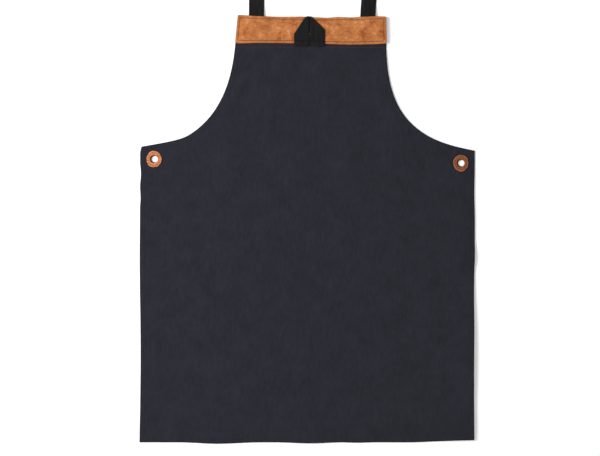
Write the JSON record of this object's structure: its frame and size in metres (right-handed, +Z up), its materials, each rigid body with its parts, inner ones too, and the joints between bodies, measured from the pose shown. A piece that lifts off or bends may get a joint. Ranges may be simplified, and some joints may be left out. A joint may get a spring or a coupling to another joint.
{
  "type": "suede apron",
  "caption": "Canvas work apron lying flat, with a suede band across the bib, a webbing neck loop, a folded hanging loop and leather-ringed eyelets.",
  "frame": {"origin": "on the surface that the apron lies on, under the middle of the panel", "axes": "+Y along the apron from the hem to the neck, +X across it to the right as seen from its front, +Z up out of its front"},
  "size_m": [0.6718, 1.088, 0.0305],
  "materials": {
    "canvas": "dark navy cotton canvas, matt, fine twill",
    "suede": "tan suede with a short mottled nap",
    "webbing": "black woven webbing",
    "ring_leather": "orange-brown leather, hand-cut and sewn",
    "thread": "dark waxed sewing thread"
  },
  "bodies": {
    "root": {"canvas_panel": "canvas", "suede_band": "suede", "neck_strap": "webbing", "hang_loop": "webbing", "eyelet_ring_left": "ring_leather", "eyelet_ring_right": "ring_leather"}
  },
  "joints": []
}
